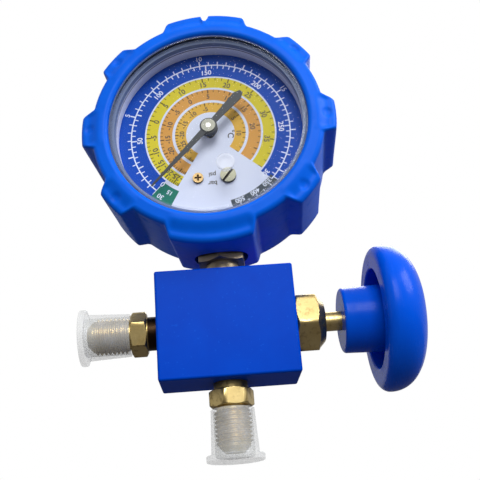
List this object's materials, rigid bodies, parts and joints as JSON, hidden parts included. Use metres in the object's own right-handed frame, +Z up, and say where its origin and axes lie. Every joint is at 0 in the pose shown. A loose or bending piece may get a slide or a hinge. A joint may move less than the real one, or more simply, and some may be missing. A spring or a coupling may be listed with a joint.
{
  "type": "refrigerant manifold gauge",
  "caption": "Single-valve refrigerant manifold: blue block with a booted dial gauge on top, a side handwheel and capped flare ports at the left and below.",
  "frame": {"origin": "centre of the manifold block's flat back face", "axes": "+Z up through the gauge, +X along the valve stem to the handwheel, +Y out of the block's back face; the dial faces -Y"},
  "size_m": [0.1035, 0.0464, 0.1426],
  "materials": {
    "block_paint": "satin blue enamel on aluminium",
    "boot_rubber": "soft moulded blue rubber",
    "wheel_plastic": "moulded blue nylon",
    "brass": "machined brass",
    "cap_plastic": "thin translucent polyethylene",
    "case_steel": "black painted drawn steel",
    "steel": "plated steel",
    "dial_ring_metal": "turned aluminium",
    "dial_face": "printed aluminium dial",
    "lens_clear": "clear polycarbonate",
    "pointer_black": "matt black aluminium",
    "seal_rubber": "black nitrile rubber",
    "ptfe": "white PTFE"
  },
  "bodies": {
    "manifold": {"manifold_block": "block_paint", "left_port_fitting": "brass", "bottom_port_fitting": "brass", "packing_washer": "brass", "stem_packing": "ptfe", "gland_follower": "brass", "packing_nut": "brass", "gauge_socket": "brass", "gauge_case": "case_steel", "relief_plug": "seal_rubber", "case_screws": "steel", "boot": "boot_rubber", "lens_gasket": "seal_rubber", "lens": "lens_clear", "dial_ring": "dial_ring_metal", "dial_plate": "dial_face", "dial_posts": "brass", "dial_screw": "brass", "movement_front_plate": "brass", "movement_back_plate": "brass", "movement_pillars": "brass", "movement_screws": "steel", "bourdon_tube": "brass", "hairspring": "steel"},
    "pointer_set": {"pointer": "pointer_black", "pointer_hub": "steel", "pinion_arbor": "steel"},
    "sector": {"sector_gear": "brass"},
    "tube_end": {"tube_tip": "brass"},
    "link": {"link": "steel"},
    "adjuster": {"zero_adjuster": "steel"},
    "access_plug": {"lens_plug": "seal_rubber"},
    "seat": {"seat_disc": "ptfe"},
    "stem": {"valve_stem": "brass", "handwheel": "wheel_plastic", "handwheel_washer": "steel", "handwheel_screw": "steel"},
    "left_cap": {"left_cap": "cap_plastic"},
    "bottom_cap": {"bottom_cap": "cap_plastic"}
  },
  "joints": [
    {"name": "tube_tip_travel", "type": "slide", "parent": "manifold", "child": "tube_end", "axis": [0.3515, -0.0332, 0.9356], "range_m": [-0.00015, 0.003], "stiffness_N_per_m": 1000, "deforming": ["bourdon_tube"]},
    {"name": "pointer_turn", "type": "hinge", "parent": "manifold", "child": "pointer_set", "pos_m": [0, -0.01, 0.0624], "axis": [0.0941, 0.9956, 0], "range_deg": [-15.2, 303.3], "stiffness_Nm_per_rad": 0.00002, "deforming": ["hairspring"]},
    {"name": "sector_swing", "type": "hinge", "parent": "manifold", "child": "sector", "pos_m": [0.01162, -0.0111, 0.05073], "axis": [0.0941, 0.9956, 0], "range_deg": [-30.4, 1.6]},
    {"name": "link_swing", "type": "hinge", "parent": "sector", "child": "link", "pos_m": [0.0174, -0.01164, 0.04924], "axis": [0.0941, 0.9956, 0], "range_deg": [-2, 38.4]},
    {"name": "stem_travel", "type": "slide", "parent": "manifold", "child": "seat", "axis": [1, 0, 0], "range_m": [-0.00281, 0.00126]},
    {"name": "handwheel_turn", "type": "hinge", "parent": "seat", "child": "stem", "pos_m": [0.04, -0.01, 0], "axis": [1, 0, 0], "range_deg": [-810, 360]},
    {"name": "zero_adjuster_turn", "type": "hinge", "parent": "manifold", "child": "adjuster", "pos_m": [0.00478, -0.01045, 0.0468], "axis": [0.0941, 0.9956, 0], "range_deg": [-90, 90]},
    {"name": "access_plug_pull", "type": "slide", "parent": "manifold", "child": "access_plug", "axis": [-0.0941, -0.9956, 0], "range_m": [0, 0.012]},
    {"name": "left_cap_pull", "type": "slide", "parent": "manifold", "child": "left_cap", "axis": [-1, 0, 0], "range_m": [0, 0.03]},
    {"name": "bottom_cap_pull", "type": "slide", "parent": "manifold", "child": "bottom_cap", "axis": [0, 0, -1], "range_m": [0, 0.03]}
  ],
  "couplings": [
    {"joint": "pointer_turn", "follows": "tube_tip_travel", "rad_per_m": 1765.3},
    {"joint": "sector_swing", "follows": "tube_tip_travel", "rad_per_m": -176.53},
    {"joint": "link_swing", "follows": "tube_tip_travel", "rad_per_m": 220.94},
    {"joint": "stem_travel", "follows": "handwheel_turn", "m_per_rad": 0.00019894}
  ]
}
